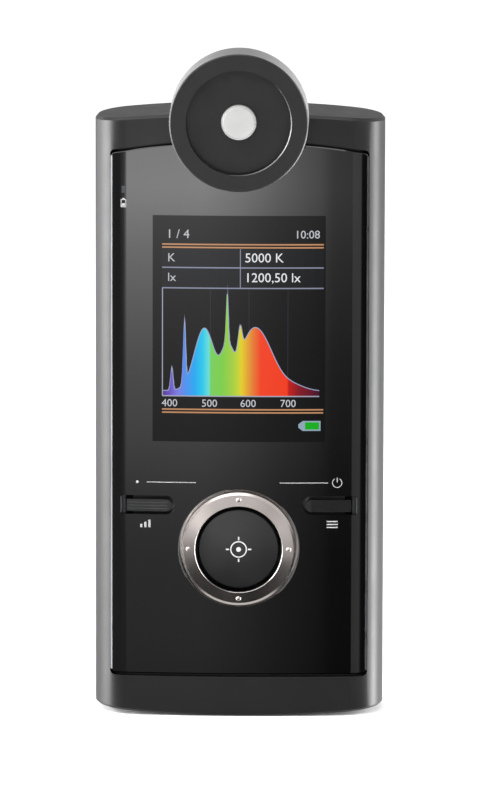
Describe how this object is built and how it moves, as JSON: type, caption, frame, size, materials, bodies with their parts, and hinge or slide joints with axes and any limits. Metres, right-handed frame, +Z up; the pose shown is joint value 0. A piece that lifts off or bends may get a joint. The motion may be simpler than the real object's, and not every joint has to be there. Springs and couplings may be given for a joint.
{
  "type": "light meter",
  "caption": "Slim handheld spectral light meter with a colour display, a ring key round a measuring button, and a round sensor head that flips over on a hinge between its shoulders.",
  "frame": {"origin": "mouth of the tripod thread in the middle of the foot, on which the meter stands upright", "axes": "+Z up the length of the meter, display faces -Y, +X to the right of someone who reads the display"},
  "size_m": [0.06, 0.03, 0.141],
  "materials": {
    "casing": "fine satin texture, anthracite",
    "head_casing": "fine satin texture, anthracite",
    "window_glass": "polished, printed black behind",
    "adhesive": "black adhesive tape",
    "display_panel": "dark panel",
    "foam": "soft black foam",
    "black_plastic": "moulded, matt",
    "flexible_circuit": "amber film",
    "circuit_board": "green solder resist",
    "zinc_screw": "zinc plated",
    "black_screw": "black oxide",
    "spring_steel": "bright",
    "silicone": "matt grey",
    "key_plastic": "satin black",
    "button_plastic": "matt black",
    "satin_chrome": "satin",
    "chip_resin": "black resin",
    "tin_plate": "tinned sheet",
    "cell_steel": "bright",
    "led_resin": "yellow resin",
    "clear_plastic": "clear",
    "nickel_steel": "nickel plated",
    "flap_rubber": "matt black",
    "battery_wrap": "plain film wrap",
    "contact_metal": "gold plated",
    "insert_brass": "turned",
    "opal": "opal white, satin",
    "filter_glass": "coated",
    "sensor_housing": "black anodised",
    "hinge_steel": "turned",
    "bush_brass": "turned",
    "cable_jacket": "black jacket"
  },
  "bodies": {
    "case": {"front_frame": "casing", "rear_cover": "casing", "window": "window_glass", "window_tape": "adhesive", "display_module": "display_panel", "display_gasket": "foam", "display_holder": "black_plastic", "display_flex": "flexible_circuit", "main_board": "circuit_board", "board_screws": "zinc_screw", "key_switches": "spring_steel", "key_mat": "silicone", "board_chips": "chip_resin", "shield_can": "tin_plate", "clock_cell": "cell_steel", "buzzer": "black_plastic", "charge_led": "led_resin", "light_pipe": "clear_plastic", "usb_socket": "nickel_steel", "card_socket": "nickel_steel", "battery": "battery_wrap", "battery_contacts": "contact_metal", "case_screws": "black_screw", "tripod_insert": "insert_brass", "hinge_axle_left": "hinge_steel", "hinge_axle_right": "hinge_steel", "friction_washer": "spring_steel", "head_lead": "cable_jacket"},
    "head": {"head_cap": "head_casing", "head_shell": "head_casing", "diffuser": "opal", "light_holder": "black_plastic", "optical_filter": "filter_glass", "head_board": "circuit_board", "spectrometer": "sensor_housing", "head_screws": "black_screw", "hinge_bush_left": "bush_brass", "hinge_bush_right": "bush_brass", "head_cable": "cable_jacket"},
    "data_key": {"data_button": "key_plastic"},
    "menu_key": {"menu_button": "key_plastic"},
    "measure_key": {"measure_button": "button_plastic"},
    "rocker": {"ring_rocker": "black_plastic"},
    "ring": {"nav_ring": "satin_chrome"},
    "door": {"battery_door": "casing"},
    "flap": {"port_flap": "flap_rubber"}
  },
  "joints": [
    {"name": "head_flip", "type": "hinge", "parent": "case", "child": "head", "pos_m": [0, 0, 0.1205], "axis": [-1, 0, 0], "range_deg": [0, 180]},
    {"name": "data_press", "type": "slide", "parent": "case", "child": "data_key", "axis": [0, 1, 0], "range_m": [0, 0.0004], "stiffness_N_per_m": 4000},
    {"name": "menu_press", "type": "slide", "parent": "case", "child": "menu_key", "axis": [0, 1, 0], "range_m": [0, 0.0004], "stiffness_N_per_m": 4000},
    {"name": "measure_press", "type": "slide", "parent": "case", "child": "measure_key", "axis": [0, 1, 0], "range_m": [0, 0.0004], "stiffness_N_per_m": 4000},
    {"name": "ring_up_down", "type": "hinge", "parent": "case", "child": "rocker", "pos_m": [0, -0.006, 0.03565], "axis": [1, 0, 0], "range_deg": [-1.5, 1.5], "stiffness_Nm_per_rad": 0.8},
    {"name": "ring_left_right", "type": "hinge", "parent": "rocker", "child": "ring", "pos_m": [0, -0.006, 0.03565], "axis": [0, 0, 1], "range_deg": [-1.5, 1.5], "stiffness_Nm_per_rad": 0.8},
    {"name": "battery_door_swing", "type": "hinge", "parent": "case", "child": "door", "pos_m": [0, 0.0092, 0.0183], "axis": [-1, 0, 0], "range_deg": [0, 80]},
    {"name": "port_flap_swing", "type": "hinge", "parent": "case", "child": "flap", "pos_m": [0.015, 0.0016, 0], "axis": [1, 0, 0], "range_deg": [0, 110]}
  ]
}
